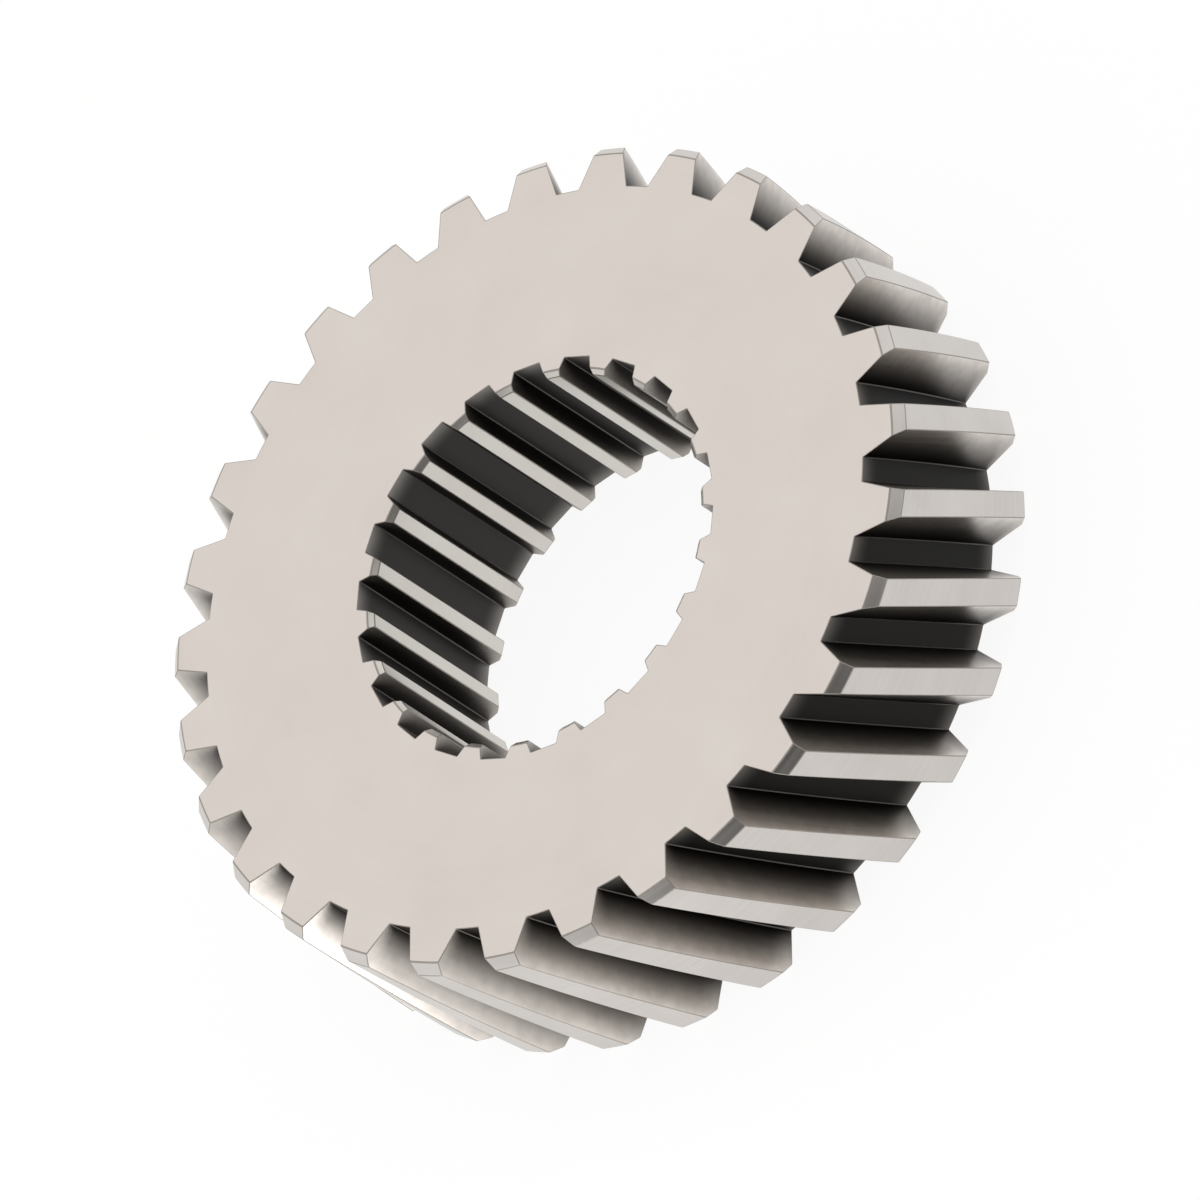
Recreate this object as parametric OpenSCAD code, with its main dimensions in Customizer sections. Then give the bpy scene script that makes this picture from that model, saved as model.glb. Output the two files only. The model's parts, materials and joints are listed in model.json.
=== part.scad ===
// Helical gear with a splined bore, made in one piece.
// It lies on its rear face: the axis is +Z and the origin is the centre of the rear face.
// The first spline groove is centred on +Y, and lengths are in millimetres.

/* [Body] */
// Width of the gear, from the rear face to the front face
face_w = 25; // [12:1:40]

/* [Gear teeth] */
// Number of teeth round the rim
teeth = 29; // [22:1:40]
// Module of the teeth, measured square to the tooth
normal_module = 3; // [2.5:0.25:4]
// Helix angle at the pitch circle, in degrees
helix_angle = 21; // [10:0.5:30]
// Hand of the helix
helix_hand = "left"; // [left, right]
// Height of a tooth above the pitch circle
addendum = 2.7; // [1.5:0.1:3.5]
// Depth of a tooth gap below the pitch circle
dedendum = 2.4; // [1.5:0.1:3.5]
// Slope of a straight flank to the tooth's centre line, in degrees
flank_angle = 17.4; // [10:0.1:25]
// Chamfer of the tooth tips at both faces, the same along and across the axis
tip_chamfer = 1.15; // [0.3:0.05:1.5]
// Turn of the first tooth past the first spline groove at the front face, in degrees
tooth_turn = 1.75; // [0:0.05:12]

/* [Splined bore] */
// Number of grooves round the bore
grooves = 22; // [16:1:26]
// Diameter of the bore across the lands between the grooves
bore_d = 44; // [40:1:60]
// Depth of a groove's floor below the lands
groove_depth = 1.9; // [1:0.1:3]
// Width of a groove's flat floor
groove_floor_w = 3.4; // [2:0.1:4]
// Slope of a groove's side to its centre line, in degrees
groove_angle = 16.4; // [5:0.1:25]
// Chamfer of the lands at both faces, the same along and across the axis
bore_chamfer = 0.6; // [0.2:0.05:1]

/* [Hidden] */
// Warm light grey of ground steel
steel_colour = "#D6CEC8";
// Sides of a drawn circle
$fn = 180;
// Length by which tools and bars run past the surfaces that trim them
overrun = 0.5;
// Depth by which a section reaches into the body or the hole that it joins
overlap = 1;
// Largest turn of the tooth section between two steps of the helix, in degrees
helix_step = 2;
// Straight sides of the tooth section, which the twist keeps whole
tooth_sides = 4;

pitch_r = teeth * normal_module / cos(helix_angle) / 2;
tip_r = pitch_r + addendum;
root_r = pitch_r - dedendum;
bore_r = bore_d / 2;
floor_y = bore_r + groove_depth;
// Bars and tools that are trimmed at both faces
tool_h = face_w + 2 * overrun;
// Turn of the helix for one millimetre along the axis
helix_rate = tan(helix_angle) / pitch_r * 180 / PI;
helix_sign = helix_hand == "left" ? 1 : -1;
helix_steps = ceil(tool_h * helix_rate / helix_step);
// A tooth takes half of its pitch, so each flank meets the pitch circle at a quarter of it
flank_turn = 360 / teeth / 4;

// Half the thickness of a tooth at a distance y from the axis
function tooth_half(y) =
    pitch_r * sin(flank_turn) + (pitch_r * cos(flank_turn) - y) * tan(flank_angle);

// Half the width of a spline groove at a distance y from the axis
function groove_half(y) = groove_floor_w / 2 + (floor_y - y) * tan(groove_angle);

// Turned blank, with the tip chamfers at both faces
module blank() {
    rotate_extrude()
        polygon([
            [0, 0],
            [tip_r - tip_chamfer, 0],
            [tip_r, tip_chamfer],
            [tip_r, face_w - tip_chamfer],
            [tip_r - tip_chamfer, face_w],
            [0, face_w]
        ]);
}

// Section of one tooth across the axis, from inside the root to past the tip
module tooth_section() {
    inner = root_r - overlap;
    outer = tip_r + overrun;
    polygon([
        [-tooth_half(inner), inner],
        [tooth_half(inner), inner],
        [tooth_half(outer), outer],
        [-tooth_half(outer), outer]
    ]);
}

// All the teeth as helical bars, longer than the gear is wide
module tooth_bars() {
    bar_turn = helix_sign * helix_rate * tool_h;
    turn_below_front = helix_sign * helix_rate * (face_w + overrun);
    translate([0, 0, -overrun])
        rotate(tooth_turn + turn_below_front)
            linear_extrude(height = tool_h, twist = bar_turn, slices = helix_steps, segments = tooth_sides)
                for (i = [0 : teeth - 1])
                    rotate(-i * 360 / teeth)
                        tooth_section();
}

// Cylinder at the bottom of the tooth gaps
module root_bar() {
    translate([0, 0, -overrun])
        cylinder(h = tool_h, r = root_r);
}

// Section of one spline groove, from inside the bore to the groove's floor
module groove_section() {
    inner = bore_r - overlap;
    polygon([
        [-groove_half(inner), inner],
        [groove_half(inner), inner],
        [groove_half(floor_y), floor_y],
        [-groove_half(floor_y), floor_y]
    ]);
}

// Broached hole: the bore and its straight grooves
module splined_hole() {
    translate([0, 0, -overrun])
        linear_extrude(height = tool_h) {
            circle(r = bore_r);
            for (i = [0 : grooves - 1])
                rotate(-i * 360 / grooves)
                    groove_section();
        }
}

// Cone that chamfers the lands at the front face
module land_chamfer() {
    translate([0, 0, face_w - bore_chamfer])
        cylinder(h = bore_chamfer + overrun, r1 = bore_r, r2 = bore_r + bore_chamfer + overrun);
}

// The gear: the blank cut to its teeth, less the splined hole and the chamfers at both ends of it
module helical_gear() {
    color(steel_colour)
        difference() {
            intersection() {
                blank();
                union() {
                    root_bar();
                    tooth_bars();
                }
            }
            splined_hole();
            land_chamfer();
            translate([0, 0, face_w])
                mirror([0, 0, 1])
                    land_chamfer();
        }
}

helical_gear();
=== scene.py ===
import json
import math

import bpy
from mathutils import Matrix, Vector


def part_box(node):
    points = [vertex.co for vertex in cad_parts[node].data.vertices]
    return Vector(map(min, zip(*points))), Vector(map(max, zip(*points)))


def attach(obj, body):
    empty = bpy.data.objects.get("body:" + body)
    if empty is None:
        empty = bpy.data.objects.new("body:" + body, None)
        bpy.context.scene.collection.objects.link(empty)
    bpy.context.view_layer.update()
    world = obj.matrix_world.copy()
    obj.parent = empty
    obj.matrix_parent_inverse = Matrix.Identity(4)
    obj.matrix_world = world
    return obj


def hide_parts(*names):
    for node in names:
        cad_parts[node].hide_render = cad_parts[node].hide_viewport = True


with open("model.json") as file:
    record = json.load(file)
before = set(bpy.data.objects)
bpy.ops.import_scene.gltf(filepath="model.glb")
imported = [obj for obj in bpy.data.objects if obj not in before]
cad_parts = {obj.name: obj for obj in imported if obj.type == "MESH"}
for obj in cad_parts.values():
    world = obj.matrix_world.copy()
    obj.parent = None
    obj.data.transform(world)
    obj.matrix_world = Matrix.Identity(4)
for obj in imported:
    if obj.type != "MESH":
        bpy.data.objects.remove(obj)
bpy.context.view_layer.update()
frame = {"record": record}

# The steel blank
# One forged steel blank carries everything. It is turned all over, and its two faces are ground flat.
# The faces stay bright. Every edge is broken with a stone, which leaves a narrow matt strip on both sides.

MM = 0.001
dims = {mount["name"]: mount["dims"] for mount in frame["record"]["mounts"]}
low_corner, high_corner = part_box("helical_gear")
width = high_corner.z - low_corner.z
edge_break = 0.08 * MM
face_break = 0.03 * MM
stone_mark = 0.06 * MM
# The chamfers slope at 45 degrees, so a length along them counts for this share of itself along the axis
slope_share = 0.7
# The strips on the face are this many times as wide beside a chamfer as beside a flank
chamfer_stretch = 1.4

# Each tooth is as many strips wide as there are grooves, and each groove as many as there are teeth.
# Both rings then have the same number of columns, and their points meet on one circle of the faces.
teeth = dims["tooth_rim"]["count"]
grooves = dims["splined_bore"]["count"]
column_turn = 2 * math.pi / (teeth * grooves)
meeting_r = 34 * MM

MATH = "ShaderNodeMath"


def join(tree, value, socket):
    """Link a socket, or a node's first output in use, to an input."""
    if isinstance(value, bpy.types.Node):
        value = next(output for output in value.outputs if output.enabled)
    tree.links.new(value, socket)


def add(tree, kind, *values, named=None, **settings):
    """Add a node with its settings. Its inputs take values or links, in order or by name."""
    node = tree.nodes.new(kind)
    for name, setting in settings.items():
        setattr(node, name, setting)
    shown = [socket for socket in node.inputs if socket.enabled]
    by_name = [(node.inputs[name], value) for name, value in (named or {}).items()]
    for socket, value in [*zip(shown, values), *by_name]:
        if isinstance(value, (bpy.types.Node, bpy.types.NodeSocket)):
            join(tree, value, socket)
        else:
            socket.default_value = value
    return node


def new_tree(name, inputs, outputs):
    """A geometry tree with named inputs and outputs, and the sockets that its own nodes read from."""
    tree = bpy.data.node_groups.new(name, "GeometryNodeTree")
    for label in inputs:
        tree.interface.new_socket(label, in_out="INPUT", socket_type="NodeSocketFloat")
    for label in outputs:
        kind = "NodeSocketGeometry" if label == "Mesh" else "NodeSocketFloat"
        tree.interface.new_socket(label, in_out="OUTPUT", socket_type=kind)
    return tree, add(tree, "NodeGroupInput").outputs


def up_to(tree, place, last, near, far):
    """The near value as far as the last row or strip that is named, and the far value past it."""
    past = add(tree, MATH, place, last + 0.5, operation="GREATER_THAN")
    return add(tree, "GeometryNodeSwitch", past, near, far, input_type="FLOAT")


# Rows of a ring, the same for the rim and the bore. From either end, row 0 lies on the meeting circle and
# row 2 on the face's edge. Row 3 ends the broken edge, and rows 1 and 4 the stone's marks beside it.
# Rows 5 and 6 hold the chamfer's end between them, and the others share the rest of the width.
circle_row, face_mark_row, face_edge_row, break_row, side_mark_row, before_end_row, past_end_row = range(7)

row_tree, given = new_tree(
    "rows of a ring",
    ["Row", "Last row", "Width", "Chamfer", "Edge break", "Face break", "Stone mark"],
    ["Step", "Height", "Depth", "Inset"])
half_way = add(row_tree, MATH, given["Last row"], 2.0, operation="DIVIDE")
from_last = add(row_tree, MATH, given["Last row"], given["Row"], operation="SUBTRACT")
step = add(row_tree, MATH, given["Row"], from_last, operation="MINIMUM")
before_end = add(row_tree, MATH, given["Edge break"], -slope_share, given["Chamfer"],
                 operation="MULTIPLY_ADD")
past_end = add(row_tree, MATH, given["Chamfer"], given["Edge break"], operation="ADD")
half_width = add(row_tree, MATH, given["Width"], 2.0, operation="DIVIDE")
break_and_mark = add(row_tree, MATH, given["Face break"], given["Stone mark"], operation="ADD")

depth = add(row_tree, "ShaderNodeMapRange", step, float(past_end_row), half_way, past_end, half_width)
depth = up_to(row_tree, step, before_end_row, before_end, depth)
depth = up_to(row_tree, step, side_mark_row, break_and_mark, depth)
depth = up_to(row_tree, step, break_row, given["Face break"], depth)
depth = up_to(row_tree, step, face_edge_row, 0.0, depth)
from_front = add(row_tree, MATH, given["Width"], depth, operation="SUBTRACT")
in_front = add(row_tree, MATH, given["Row"], half_way, operation="GREATER_THAN")
height = add(row_tree, "GeometryNodeSwitch", in_front, depth, from_front, input_type="FLOAT")
inset = up_to(row_tree, step, face_edge_row, given["Face break"], 0.0)
inset = up_to(row_tree, step, face_mark_row, break_and_mark, inset)
add(row_tree, "NodeGroupOutput", step, height, depth, inset)

# The teeth
# Left-hand helical teeth of normal module 3, hobbed into the turned blank. Their lands and chamfers are
# the blank's own turned skin. Shade is painted into the gaps, black near the root and lighter towards the
# tips.

helix_angle = math.radians(21)
flank_angle = math.radians(17.4)
pitch_r = dims["tooth_rim"]["pcd_mm"] * MM / 2
# A tooth takes half of its pitch, so each flank meets the pitch circle at a quarter of it
flank_turn = math.pi / 2 / teeth
rim_sizes = {
    "Width": width,
    "Edge break": edge_break,
    "Face break": face_break,
    "Stone mark": stone_mark,
    "Meeting radius": meeting_r,
    "Column turn": column_turn,
    "Half pitch": math.pi / teeth,
    "Root radius": pitch_r - 2.4 * MM,
    "Tip radius": pitch_r + 2.7 * MM,
    "Tip chamfer": 1.15 * MM,
    "Flank angle": flank_angle,
    "Flank line": pitch_r * math.sin(flank_turn + flank_angle),
    "Tooth turn": math.radians(1.75),
    "Helix turn": width * math.tan(helix_angle) / pitch_r,
}
rim_rows = 36
middle = grooves / 2
# Strips counted from the middle of a gap: the root ends at strip 2, the flank goes from 3 to 8,
# and the land starts at 9. The strips between them break the corners.
root_end, flank_start, flank_end, land_start = 2, 3, 8, 9

# Each face of the mesh keeps a number for its finish
FACE, TIP, FLANK, ROOT, LAND, SIDE, BED, CORNER, EDGE = range(9)


def place_in_grid(tree, rows):
    """Column and row of a grid's points, or of its faces where rows is one less."""
    index = add(tree, "GeometryNodeInputIndex")
    column = add(tree, MATH, add(tree, MATH, index, rows, operation="DIVIDE"), operation="FLOOR")
    return column, add(tree, MATH, index, rows, operation="MODULO")


def finish_number(tree, strip, row, last_row, bottom, side, land, corners):
    """Finish of a ring's faces: the bottom, side, land and corners of its gaps, and the gear's face."""
    from_last = add(tree, MATH, last_row - 1, row, operation="SUBTRACT")
    step = add(tree, MATH, row, from_last, operation="MINIMUM")
    # A face has the number of the row where it starts, and the strip between two surfaces is a corner
    chamfer_end = up_to(tree, step, before_end_row, EDGE, land)
    finish = up_to(tree, step, side_mark_row, land, chamfer_end)
    inner, outer = corners
    for last_strip, number in ((outer, EDGE), (outer - 1, side), (inner, CORNER), (inner - 1, bottom)):
        finish = up_to(tree, strip, last_strip, number, finish)
    finish = up_to(tree, step, break_row, EDGE, finish)
    return up_to(tree, step, circle_row, FACE, finish)


def spread_round(tree, radius, angle, height, finish, columns, rows, count):
    """Bend a grid to its radius, angle and height, and copy this one pitch all the way round the axis."""
    grid = add(tree, "GeometryNodeMeshGrid", 1.0, 1.0, columns + 1, rows + 1)
    across = add(tree, MATH, radius, add(tree, MATH, angle, operation="COSINE"), operation="MULTIPLY")
    along = add(tree, MATH, radius, add(tree, MATH, angle, operation="SINE"), operation="MULTIPLY")
    mesh = add(tree, "GeometryNodeSetPosition", grid, True,
               add(tree, "ShaderNodeCombineXYZ", across, along, height))
    mesh = add(tree, "GeometryNodeStoreNamedAttribute", mesh, True, "finish", finish,
               data_type="INT", domain="FACE")
    turn = add(tree, MATH, add(tree, "GeometryNodeInputIndex"), 2 * math.pi / count, operation="MULTIPLY")
    return add(tree, "GeometryNodeInstanceOnPoints", named={
        "Points": add(tree, "GeometryNodePoints", count),
        "Instance": mesh,
        "Rotation": add(tree, "ShaderNodeCombineXYZ", 0.0, 0.0, turn),
    })


rim_tree, size = new_tree("ring of teeth", rim_sizes, ["Mesh"])
column, row = place_in_grid(rim_tree, rim_rows + 1)
rows = add(rim_tree, "GeometryNodeGroup", node_tree=row_tree, named={
    "Row": row,
    "Last row": rim_rows,
    "Width": size["Width"],
    "Chamfer": size["Tip chamfer"],
    "Edge break": size["Edge break"],
    "Face break": size["Face break"],
    "Stone mark": size["Stone mark"],
})
step, height, depth, inset = rows.outputs
from_middle = add(rim_tree, MATH, column, middle, operation="SUBTRACT")
side = add(rim_tree, MATH, from_middle, operation="SIGN")
distance = add(rim_tree, MATH, from_middle, operation="ABSOLUTE")
strip = add(rim_tree, MATH, middle, distance, operation="SUBTRACT")

# The chamfer draws the land in towards both faces, and the broken edge a little more on the face itself
root_r = add(rim_tree, MATH, size["Root radius"], inset, operation="SUBTRACT")
chamfer_r = add(rim_tree, MATH, size["Tip radius"], size["Tip chamfer"], operation="SUBTRACT")
chamfer_r = add(rim_tree, MATH, chamfer_r, depth, operation="ADD")
land_r = add(rim_tree, MATH, size["Tip radius"], chamfer_r, operation="MINIMUM")
land_r = add(rim_tree, MATH, inset, -chamfer_stretch, land_r, operation="MULTIPLY_ADD")
flank_foot = add(rim_tree, MATH, root_r, size["Edge break"], operation="ADD")
flank_top = add(rim_tree, MATH, land_r, size["Edge break"], operation="SUBTRACT")
flank_r = add(rim_tree, "ShaderNodeMapRange", strip, flank_start, flank_end, flank_foot, flank_top)
radius = up_to(rim_tree, strip, flank_end, flank_r, land_r)
radius = up_to(rim_tree, strip, root_end, root_r, radius)

# A straight flank keeps its distance from the axis, so its angle follows from the radius
line = add(rim_tree, MATH, size["Flank line"], inset, operation="SUBTRACT")
line_share = add(rim_tree, MATH, line, radius, operation="DIVIDE")
line_turn = add(rim_tree, MATH, line_share, operation="ARCSINE")
on_line = add(rim_tree, MATH, line_turn, size["Flank angle"], operation="SUBTRACT")
break_turn = add(rim_tree, MATH, size["Edge break"], radius, operation="DIVIDE")
root_side = add(rim_tree, MATH, on_line, break_turn, operation="ADD")
land_side = add(rim_tree, MATH, on_line, break_turn, operation="SUBTRACT")
root_turn = add(rim_tree, "ShaderNodeMapRange", strip, 0.0, root_end, size["Half pitch"], root_side)
land_turn = add(rim_tree, "ShaderNodeMapRange", strip, land_start, middle, land_side, 0.0)
half_turn = up_to(rim_tree, strip, flank_end, on_line, land_turn)
half_turn = up_to(rim_tree, strip, root_end, root_turn, half_turn)

# The helix turns the section from the front face back, past the first tooth's own turn
back_share = add(rim_tree, MATH, height, size["Width"], operation="DIVIDE")
back_share = add(rim_tree, MATH, 1.0, back_share, operation="SUBTRACT")
section_turn = add(rim_tree, MATH, back_share, size["Helix turn"], size["Tooth turn"],
                   operation="MULTIPLY_ADD")
tooth_place = add(rim_tree, MATH, side, half_turn, section_turn, operation="MULTIPLY_ADD")

# On the meeting circle each column goes to the bore's next point. The lean keeps every column well
# between two points, so that no two of them go to the same one.
lean = 0.4
column_place = add(rim_tree, MATH, from_middle, lean, operation="ADD")
column_place = add(rim_tree, MATH, column_place, size["Column turn"], section_turn,
                   operation="MULTIPLY_ADD")
circle_place = add(rim_tree, MATH, column_place, size["Column turn"], operation="SNAP")
circle_place = add(rim_tree, MATH, size["Column turn"], 0.5, circle_place, operation="MULTIPLY_ADD")

angle = up_to(rim_tree, step, circle_row, circle_place, tooth_place)
angle = add(rim_tree, MATH, angle, math.pi / 2, operation="ADD")
radius = up_to(rim_tree, step, circle_row, size["Meeting radius"], radius)

column, row = place_in_grid(rim_tree, rim_rows)
from_middle = add(rim_tree, MATH, column, middle - 0.5, operation="SUBTRACT")
distance = add(rim_tree, MATH, from_middle, operation="ABSOLUTE")
strip = add(rim_tree, MATH, middle - 0.5, distance, operation="SUBTRACT")
finish = finish_number(rim_tree, strip, row, rim_rows, ROOT, FLANK, TIP, (root_end, flank_end))
ring = spread_round(rim_tree, radius, angle, height, finish, grooves, rim_rows, teeth)
add(rim_tree, "NodeGroupOutput", ring)

# The splined bore
# Straight grooves with flat floors and sloping sides, broached through the bore in one pull. The lands
# between them are bright, and are chamfered at both faces. Shade is painted into the grooves, as in the
# tooth gaps.

groove_angle = math.radians(16.4)
floor_half = 3.4 * MM / 2
bore_r = dims["splined_bore"]["r_mm"] * MM
floor_y = bore_r + 1.9 * MM
bore_sizes = {
    "Width": width,
    "Edge break": edge_break,
    "Face break": face_break,
    "Stone mark": stone_mark,
    "Meeting radius": meeting_r,
    "Column turn": column_turn,
    "Half pitch": math.pi / grooves,
    "Land radius": bore_r,
    "Land chamfer": 0.6 * MM,
    "Floor distance": floor_y,
    "Side angle": groove_angle,
    "Side line": floor_half * math.cos(groove_angle) + floor_y * math.sin(groove_angle),
}
bore_rows = 20
middle = teeth / 2
# Strips counted from the middle of a groove: the floor ends at strip 4.5, the side goes from 5.5 to 10.5,
# and the land starts at 11.5
floor_end, side_start, side_end, land_start = 4.5, 5.5, 10.5, 11.5

bore_tree, size = new_tree("ring of grooves", bore_sizes, ["Mesh"])
column, row = place_in_grid(bore_tree, bore_rows + 1)
rows = add(bore_tree, "GeometryNodeGroup", node_tree=row_tree, named={
    "Row": row,
    "Last row": bore_rows,
    "Width": size["Width"],
    "Chamfer": size["Land chamfer"],
    "Edge break": size["Edge break"],
    "Face break": size["Face break"],
    "Stone mark": size["Stone mark"],
})
step, height, depth, inset = rows.outputs
from_middle = add(bore_tree, MATH, column, middle, operation="SUBTRACT")
side = add(bore_tree, MATH, from_middle, operation="SIGN")
strip = add(bore_tree, MATH, from_middle, operation="ABSOLUTE")

# The chamfer and the broken edge widen the land's circle towards both faces
chamfer_r = add(bore_tree, MATH, size["Land radius"], size["Land chamfer"], operation="ADD")
chamfer_r = add(bore_tree, MATH, chamfer_r, depth, operation="SUBTRACT")
land_r = add(bore_tree, MATH, size["Land radius"], chamfer_r, operation="MAXIMUM")
land_r = add(bore_tree, MATH, inset, chamfer_stretch, land_r, operation="MULTIPLY_ADD")
floor_far = add(bore_tree, MATH, size["Floor distance"], inset, operation="ADD")
line = add(bore_tree, MATH, size["Side line"], inset, operation="ADD")

# The floor and the side meet where the flat floor crosses the side's line
side_sine = add(bore_tree, MATH, size["Side angle"], operation="SINE")
side_cosine = add(bore_tree, MATH, size["Side angle"], operation="COSINE")
line_less_floor = add(bore_tree, MATH, floor_far, side_sine, operation="MULTIPLY")
line_less_floor = add(bore_tree, MATH, line, line_less_floor, operation="SUBTRACT")
corner_x = add(bore_tree, MATH, line_less_floor, side_cosine, operation="DIVIDE")
corner = add(bore_tree, "ShaderNodeCombineXYZ", corner_x, floor_far, 0.0)
corner_r = add(bore_tree, "ShaderNodeVectorMath", corner, operation="LENGTH")
side_foot = add(bore_tree, MATH, corner_r, size["Edge break"], operation="SUBTRACT")
side_top = add(bore_tree, MATH, land_r, size["Edge break"], operation="ADD")
side_r = add(bore_tree, "ShaderNodeMapRange", strip, side_start, side_end, side_foot, side_top)
line_r = up_to(bore_tree, strip, side_end, side_r, land_r)

# The side keeps its distance from the axis, as a tooth's flank does
line_share = add(bore_tree, MATH, line, line_r, operation="DIVIDE")
line_turn = add(bore_tree, MATH, line_share, operation="ARCSINE")
on_line = add(bore_tree, MATH, line_turn, size["Side angle"], operation="SUBTRACT")
break_turn = add(bore_tree, MATH, size["Edge break"], line_r, operation="DIVIDE")
land_side = add(bore_tree, MATH, on_line, break_turn, operation="ADD")
land_turn = add(bore_tree, "ShaderNodeMapRange", strip, land_start, middle, land_side, size["Half pitch"])
floor_edge = add(bore_tree, MATH, corner_x, size["Edge break"], operation="SUBTRACT")
floor_edge_turn = add(bore_tree, MATH, floor_edge, floor_far, operation="ARCTAN2")
floor_turn = add(bore_tree, "ShaderNodeMapRange", strip, 0.0, floor_end, 0.0, floor_edge_turn)
half_turn = up_to(bore_tree, strip, side_end, on_line, land_turn)
half_turn = up_to(bore_tree, strip, floor_end, floor_turn, half_turn)
floor_cosine = add(bore_tree, MATH, floor_turn, operation="COSINE")
floor_r = add(bore_tree, MATH, floor_far, floor_cosine, operation="DIVIDE")
radius = up_to(bore_tree, strip, floor_end, floor_r, line_r)

groove_place = add(bore_tree, MATH, side, half_turn, operation="MULTIPLY")
circle_place = add(bore_tree, MATH, from_middle, size["Column turn"], operation="MULTIPLY")
angle = up_to(bore_tree, step, circle_row, circle_place, groove_place)
angle = add(bore_tree, MATH, angle, math.pi / 2, operation="ADD")
radius = up_to(bore_tree, step, circle_row, size["Meeting radius"], radius)

column, row = place_in_grid(bore_tree, bore_rows)
from_middle = add(bore_tree, MATH, column, middle - 0.5, operation="SUBTRACT")
strip = add(bore_tree, MATH, from_middle, operation="ABSOLUTE")
corners = (floor_end + 0.5, side_end + 0.5)
finish = finish_number(bore_tree, strip, row, bore_rows, BED, SIDE, LAND, corners)
ring = spread_round(bore_tree, radius, angle, height, finish, teeth, bore_rows, grooves)
add(bore_tree, "NodeGroupOutput", ring)

# The finishes
# All are the same warm grey steel, and differ in how the surface was cut and in the shade painted into the
# gaps.
# The marks of the tools are drawn a few times coarser than the real ones, so that they show.

# Noise keeps mostly inside the first range, and inside the second where two noises are mixed
noise_range = (0.3, 0.7)
mixed_range = (0.35, 0.65)
# Soft clouds, as a cloth leaves them on oiled steel, make up the larger share of the tone
cloud_size = 9 * MM
cloud_share = 0.6


def linear(text):
    """Linear colour of an sRGB hex value."""
    channels = [int(text[start:start + 2], 16) / 255 for start in (1, 3, 5)]
    return [
        channel / 12.92 if channel <= 0.04045 else ((channel + 0.055) / 1.055) ** 2.4
        for channel in channels
    ] + [1.0]


def from_axis(tree, place):
    """Distance of a point from the gear's axis."""
    flat = add(tree, "ShaderNodeVectorMath", place, (1.0, 1.0, 0.0), operation="MULTIPLY")
    return add(tree, "ShaderNodeVectorMath", flat, operation="LENGTH").outputs["Value"]


def steel(name, tones, roughness, period_mm, radial_mm=None, relief_mm=0.002):
    """Bare steel with the fine lines of its last cut. A line is long where its period is long."""
    material = bpy.data.materials.new(name)
    material.use_nodes = True
    tree = material.node_tree
    shader = tree.nodes["Principled BSDF"]
    shader.inputs["Metallic"].default_value = 1.0
    place = add(tree, "ShaderNodeTexCoord").outputs["Object"]
    scale = [1 / (period * MM) for period in period_mm]
    lines_at = add(tree, "ShaderNodeMapping", named={"Vector": place, "Scale": scale})
    if radial_mm:
        rings = add(tree, MATH, from_axis(tree, place), 1 / (radial_mm * MM), operation="MULTIPLY")
        lift = add(tree, "ShaderNodeCombineXYZ", 0.0, 0.0, rings)
        lines_at = add(tree, "ShaderNodeVectorMath", lines_at, lift, operation="ADD")
    lines = add(tree, "ShaderNodeTexNoise", named={"Vector": lines_at, "Scale": 1.0, "Detail": 3.0})
    clouds = add(tree, "ShaderNodeTexNoise",
                 named={"Vector": place, "Scale": 1 / cloud_size, "Detail": 2.0})
    shade = add(tree, "ShaderNodeMix", cloud_share, lines.outputs["Fac"], clouds.outputs["Fac"])
    tone = add(tree, "ShaderNodeMapRange", shade, *mixed_range, 0.0, 1.0)
    colour = add(tree, "ShaderNodeMix", tone, linear(tones[0]), linear(tones[1]), data_type="RGBA")
    rough = add(tree, "ShaderNodeMapRange", lines.outputs["Fac"], *noise_range, *roughness)
    bump = add(tree, "ShaderNodeBump", named={
        "Strength": 1.0, "Distance": relief_mm * MM, "Height": lines.outputs["Fac"]})
    join(tree, colour, shader.inputs["Base Color"])
    join(tree, rough, shader.inputs["Roughness"])
    join(tree, bump, shader.inputs["Normal"])
    return material


# Shade is painted into the gaps as a dark colour. It is lifted where much of the sky within a few
# millimetres is open, and in small patches a little more or less. Near the gear's faces it fades over the
# last millimetres.
shade_roughness = 0.40
sky_reach = 8 * MM
root_shade_curve = 1.3
end_reach = 3 * MM
end_curve = 2.0
patch_size = 1.5 * MM
patch_range = (0.92, 1.08)


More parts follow.
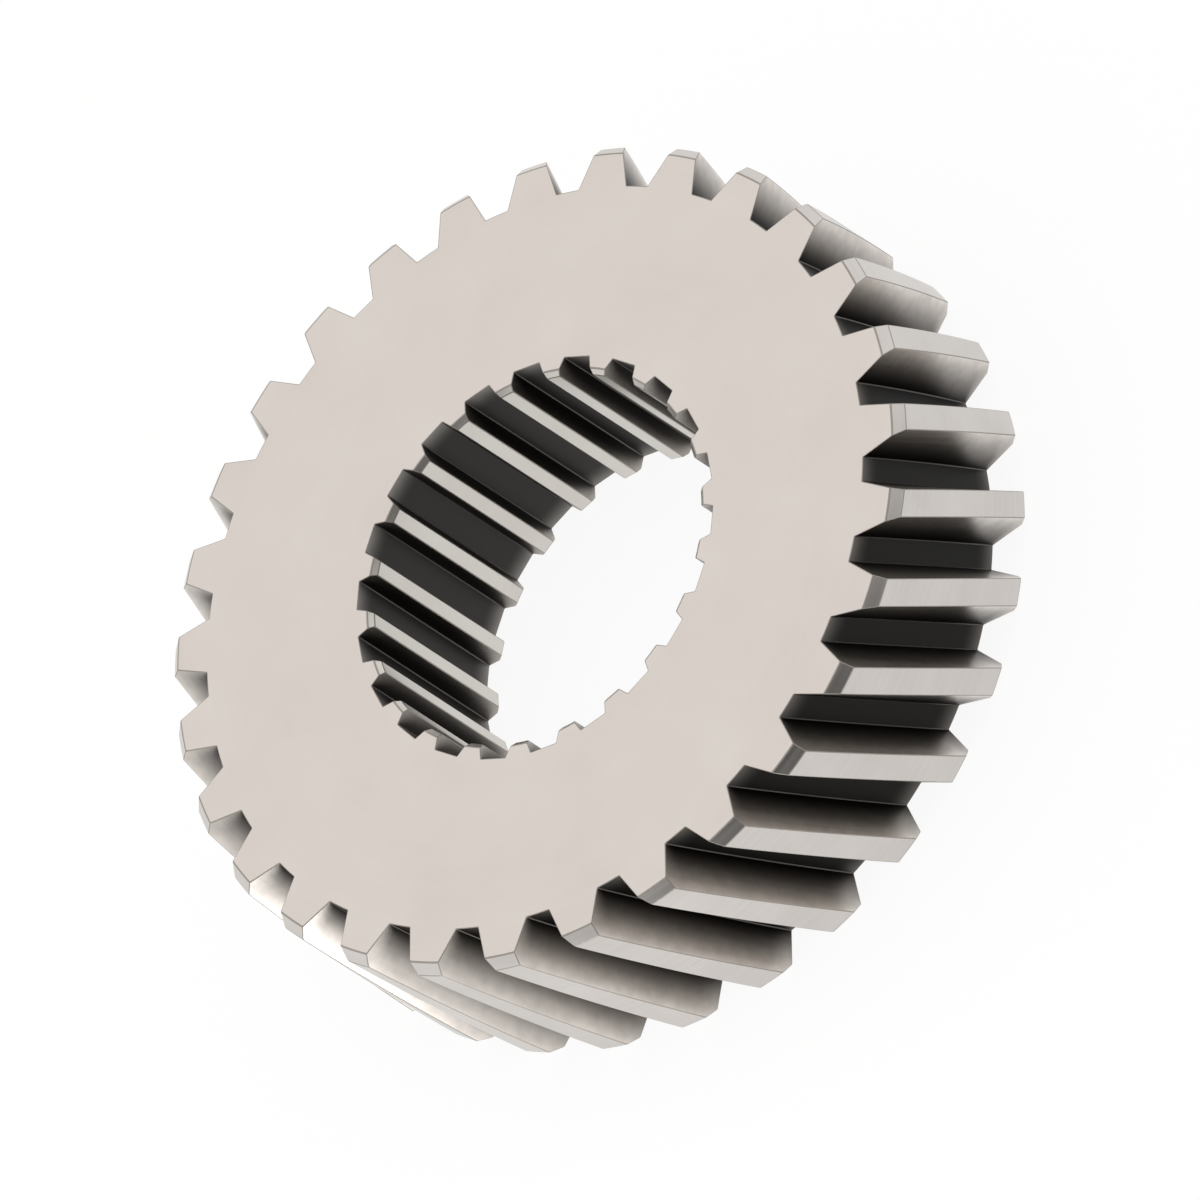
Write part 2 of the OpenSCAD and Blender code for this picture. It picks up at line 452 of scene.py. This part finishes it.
def paint_gap_shade(material, shade_colour, openness=None, depth=None, ends=None, shade_tint_at_low_angle=None):
    """Paint shade on the steel as a dark colour, lifted where it is open, far from the root or near the
    faces.
    """
    tree = material.node_tree
    shader = tree.nodes["Principled BSDF"]
    bare = shader.inputs["Base Color"].links[0].from_socket
    smooth = shader.inputs["Roughness"].links[0].from_socket
    place = add(tree, "ShaderNodeTexCoord").outputs["Object"]
    unshaded = 0.0
    if openness:
        closed, open_sky, most = openness
        # An occlusion test decides where shade is painted
        sky = add(tree, "ShaderNodeAmbientOcclusion", samples=16, only_local=True,
                  named={"Distance": sky_reach})
        rise = add(tree, "ShaderNodeMapRange", sky.outputs["AO"], closed, open_sky, 0.0, most)
        unshaded = add(tree, MATH, unshaded, rise, operation="MAXIMUM")
    if depth:
        rise = add(tree, "ShaderNodeMapRange", from_axis(tree, place), *depth, 0.0, 1.0)
        rise = add(tree, MATH, rise, root_shade_curve, operation="POWER")
        unshaded = add(tree, MATH, unshaded, rise, operation="MAXIMUM")
    if ends:
        from_rear = add(tree, "ShaderNodeSeparateXYZ", place).outputs["Z"]
        from_front = add(tree, MATH, width, from_rear, operation="SUBTRACT")
        from_end = add(tree, MATH, from_rear, from_front, operation="MINIMUM")
        rise = add(tree, "ShaderNodeMapRange", from_end, 0.0, end_reach, 1.0, 0.0)
        rise = add(tree, MATH, rise, end_curve, operation="POWER")
        rise = add(tree, MATH, rise, ends, operation="MULTIPLY")
        unshaded = add(tree, MATH, unshaded, rise, operation="MAXIMUM")
    patches = add(tree, "ShaderNodeTexNoise",
                  named={"Vector": place, "Scale": 1 / patch_size, "Detail": 3.0})
    patches = add(tree, "ShaderNodeMapRange", patches.outputs["Fac"], *noise_range, *patch_range)
    unshaded = add(tree, MATH, unshaded, patches, operation="MULTIPLY", use_clamp=True)
    # The painted shade: the dark colour where the mask is low, bare steel where it is high
    colour = add(tree, "ShaderNodeMix", unshaded, linear(shade_colour), bare, data_type="RGBA")
    rough = add(tree, "ShaderNodeMix", unshaded, shade_roughness, smooth)
    if shade_tint_at_low_angle:
        # Where shade is painted, reflection at a low angle is dimmed as well, as part of the painted shade
        tint = add(tree, "ShaderNodeMix", unshaded, linear(shade_tint_at_low_angle), linear("#FFFFFF"), data_type="RGBA")
        join(tree, tint, shader.inputs["Specular Tint"])
    join(tree, colour, shader.inputs["Base Color"])
    join(tree, rough, shader.inputs["Roughness"])
    return material


# Faces, ground on a rotary table: faint rings round the axis, near to plain
ground_face = steel("ground steel face", ("#DAD2CB", "#DED7D0"), (0.50, 0.58), (25, 25, 25),
                    radial_mm=0.3)
# Lands and chamfers of the teeth, turned on the blank: lines round the axis
turned_tip = steel("turned steel tip", ("#C9C4BF", "#D3CEC9"), (0.27, 0.33), (20, 20, 0.35),
                   relief_mm=0.0008)
# Flanks, hobbed: marks along the tooth, with painted shade, black near the root and lighter towards the
# tip
hobbed_flank = paint_gap_shade(
    steel("hobbed steel flank", ("#D4CDC6", "#DED7D0"), (0.26, 0.34), (18, 18, 18), radial_mm=0.4),
    "#232120", openness=(0.68, 0.93, 0.85), depth=(rim_sizes["Root radius"], rim_sizes["Tip radius"]),
    shade_tint_at_low_angle="#D2D2D2")
# Bottom of a tooth gap, hobbed: painted shade, black, and a little lighter at the gear's faces
hobbed_root = paint_gap_shade(
    steel("painted shade on a hobbed root", ("#CCC4BC", "#D6CEC6"), (0.34, 0.42), (18, 18, 18),
          radial_mm=0.4),
    "#262524", ends=0.19, shade_tint_at_low_angle="#DCDCDC")
# Lands between the grooves, bored: lines round the axis
bored_land = steel("bored steel land", ("#CFCAC3", "#D7D3CD"), (0.28, 0.36), (20, 20, 0.4),
                   relief_mm=0.001)
# Sides of a groove, broached: long lines along the axis, painted shade, black but for a strip beside the
# land
broached_side = paint_gap_shade(
    steel("broached groove side", ("#CFC8C0", "#D8D0C8"), (0.30, 0.38), (0.3, 0.3, 20)),
    "#2F2C29", openness=(0.60, 0.90, 1.0))
# Floor of a groove, broached: painted shade, black, and lighter at the gear's faces
broached_bed = paint_gap_shade(
    steel("painted shade on a broached floor", ("#CFCAC4", "#D8D3CD"), (0.34, 0.42), (0.3, 0.3, 20)),
    "#383634", ends=0.33)
# Inner corners deep in the gaps: painted shade as a mid-dark grey, a thin line a little lighter than the
# shade beside it
shaded_corner = steel("painted shade in a corner", ("#5A5652", "#67635F"), (0.45, 0.55), (0.8, 0.8, 0.8))
# Edges broken with a stone: matt and mid grey
stoned_edge = steel("stoned steel edge", ("#9E9790", "#ACA59E"), (0.50, 0.60), (0.8, 0.8, 0.8))
finishes = {
    FACE: ground_face,
    TIP: turned_tip,
    FLANK: hobbed_flank,
    ROOT: hobbed_root,
    LAND: bored_land,
    SIDE: broached_side,
    BED: broached_bed,
    CORNER: shaded_corner,
    EDGE: stoned_edge,
}

# The gear in one piece
# The ring of teeth and the ring of grooves are welded on the circle where they meet, so that the mesh
# closes, and every surface gets its finish.

weld_distance = 0.001 * MM
sharp_angle = math.radians(12)
rim_inputs = {f"Rim {name}": value for name, value in rim_sizes.items()}
bore_inputs = {f"Bore {name}": value for name, value in bore_sizes.items()}
gear_inputs = {**rim_inputs, **bore_inputs}
gear_tree, size = new_tree("helical gear", gear_inputs, ["Mesh"])
rim = add(gear_tree, "GeometryNodeGroup", node_tree=rim_tree,
          named={name: size[f"Rim {name}"] for name in rim_sizes})
bore = add(gear_tree, "GeometryNodeGroup", node_tree=bore_tree,
           named={name: size[f"Bore {name}"] for name in bore_sizes})
# The bore's surface looks towards the axis, and the grid that it is bent from looks away from it
bore = add(gear_tree, "GeometryNodeFlipFaces", add(gear_tree, "GeometryNodeRealizeInstances", bore))
both = add(gear_tree, "GeometryNodeJoinGeometry")
for ring in (rim, bore):
    join(gear_tree, ring, both.inputs["Geometry"])
mesh = add(gear_tree, "GeometryNodeRealizeInstances", both)
mesh = add(gear_tree, "GeometryNodeMergeByDistance", mesh, True, weld_distance)
for number, material in finishes.items():
    stored = add(gear_tree, "GeometryNodeInputNamedAttribute", "finish", data_type="INT")
    same = add(gear_tree, "FunctionNodeCompare", stored, number, data_type="INT", operation="EQUAL")
    mesh = add(gear_tree, "GeometryNodeSetMaterial", mesh, same, material)
add(gear_tree, "NodeGroupOutput", mesh)

host = bpy.data.objects.new("gear_host", bpy.data.meshes.new("gear_host"))
bpy.context.scene.collection.objects.link(host)
modifier = host.modifiers.new("gear", "NODES")
modifier.node_group = gear_tree
for socket in gear_tree.interface.items_tree:
    if socket.in_out == "INPUT":
        modifier[socket.identifier] = float(gear_inputs[socket.name])
evaluated = host.evaluated_get(bpy.context.evaluated_depsgraph_get())
gear_mesh = bpy.data.meshes.new_from_object(evaluated)
gear_mesh.name = "gear"
bpy.data.objects.remove(host)
gear_mesh.shade_smooth()
gear_mesh.set_sharp_from_angle(angle=sharp_angle)
gear = bpy.data.objects.new("gear", gear_mesh)
bpy.context.scene.collection.objects.link(gear)

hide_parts("helical_gear")
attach(gear, "root")

# Floor
# A wide matt white board that the gear lies on. It looks white to the camera and in the steel, and
# keeps a faint shadow.

board_half = 2.0
board_z = -0.02 * MM
board_glow = 0.92
floor_mesh = bpy.data.meshes.new("floor")
corner_signs = ((-1, -1), (1, -1), (1, 1), (-1, 1))
board_corners = [(x * board_half, y * board_half, board_z) for x, y in corner_signs]
floor_mesh.from_pydata(board_corners, [], [(0, 1, 2, 3)])
floor = bpy.data.objects.new("floor", floor_mesh)
bpy.context.scene.collection.objects.link(floor)

board = bpy.data.materials.new("matt white board")
board.use_nodes = True
tree = board.node_tree
tree.nodes.clear()
rays = add(tree, "ShaderNodeLightPath").outputs
seen = add(tree, MATH, rays["Is Camera Ray"], rays["Is Glossy Ray"], operation="MAXIMUM")
seen = add(tree, MATH, seen, rays["Is Transmission Ray"], operation="MAXIMUM")
matt = add(tree, "ShaderNodeBsdfDiffuse", linear("#F4F3F1"))
glow = add(tree, "ShaderNodeEmission", (1.0, 1.0, 1.0, 1.0), board_glow)
shaded = add(tree, "ShaderNodeBsdfDiffuse", linear("#585857"))
glow_and_shade = add(tree, "ShaderNodeAddShader", glow, shaded)
add(tree, "ShaderNodeOutputMaterial", add(tree, "ShaderNodeMixShader", seen, matt, glow_and_shade))
floor_mesh.materials.append(board)

# Light
# A bright, even studio dome with a dark opening on the camera's side, wide and low, which the chamfers
# reflect. One small soft lamp stands on the floor at the -Y side, and three flanks catch it.

opening = Vector((0.59, -0.37, 0.72)).normalized()
over_opening = (Vector((0.0, 0.0, 1.0)) - opening.z * opening).normalized()
# The opening keeps its depth as far up and down as the first value, and has ended at the second
opening_height = (0.25, 0.6)
# How bright the dome is, from square to the opening's middle to the middle itself
levels = ((0.0, 1.04), (0.2, 0.98), (0.45, 0.86), (0.62, 0.62), (0.76, 0.34), (0.88, 0.15), (1.0, 0.07))

world = bpy.data.worlds.new("studio")
bpy.context.scene.world = world
world.use_nodes = True
tree = world.node_tree
tree.nodes.clear()
direction = add(tree, "ShaderNodeTexCoord").outputs["Generated"]
towards = add(tree, "ShaderNodeVectorMath", direction, tuple(opening), operation="DOT_PRODUCT")
across = add(tree, "ShaderNodeVectorMath", direction, tuple(over_opening), operation="DOT_PRODUCT")
off_middle = add(tree, MATH, across.outputs["Value"], operation="ABSOLUTE")
in_opening = add(tree, "ShaderNodeMapRange", off_middle, *opening_height, 1.0, 0.0)
towards = add(tree, MATH, towards.outputs["Value"], in_opening, operation="MULTIPLY")
dome = add(tree, "ShaderNodeValToRGB", towards)
while len(dome.color_ramp.elements) < len(levels):
    dome.color_ramp.elements.new(0.5)
for element, (position, level) in zip(dome.color_ramp.elements, levels):
    element.position = position
    element.color = (level, level, level, 1.0)
add(tree, "ShaderNodeOutputWorld", add(tree, "ShaderNodeBackground", dome, 1.0))

lamp_data = bpy.data.lights.new("soft lamp", "AREA")
lamp_data.shape = "RECTANGLE"
lamp_data.size = 0.078
lamp_data.size_y = 0.036
lamp_data.energy = 0.0265
lamp = bpy.data.objects.new("soft lamp", lamp_data)
lamp.visible_camera = False
lamp_place = Vector((0.023, -0.131, 0.0185))
away_from_gear = Vector((0.469, -0.883, 0.0))
lamp_turn = away_from_gear.to_track_quat("Z", "Y").to_matrix().to_4x4()
lamp.matrix_world = Matrix.Translation(lamp_place) @ lamp_turn
bpy.context.scene.collection.objects.link(lamp)

# Camera
# It looks down on the front face from the gear's +X side, turned so that +Y is up in the picture.

to_right = Vector((0.79569, 0.19354, -0.57396))
to_top = Vector((0.04342, 0.92692, 0.37275))
to_viewer = to_right.cross(to_top)
view_width = 132.365 * MM
camera_distance = 0.6
front_centre = Vector((0.0, 0.0, width))
# The middle of the picture lies this far to the right of the front face's centre, and below it
picture_right = 7.189 * MM
picture_down = 4.683 * MM
target = front_centre + to_right * picture_right - to_top * picture_down

camera_data = bpy.data.cameras.new("camera")
camera_data.type = "ORTHO"
camera_data.ortho_scale = view_width
camera_data.clip_end = 10.0
camera = bpy.data.objects.new("camera", camera_data)
turn = Matrix((to_right, to_top, to_viewer)).transposed().to_4x4()
camera.matrix_world = Matrix.Translation(target + to_viewer * camera_distance) @ turn
bpy.context.scene.collection.objects.link(camera)
bpy.context.scene.camera = camera
bpy.context.scene.view_settings.view_transform = "Standard"
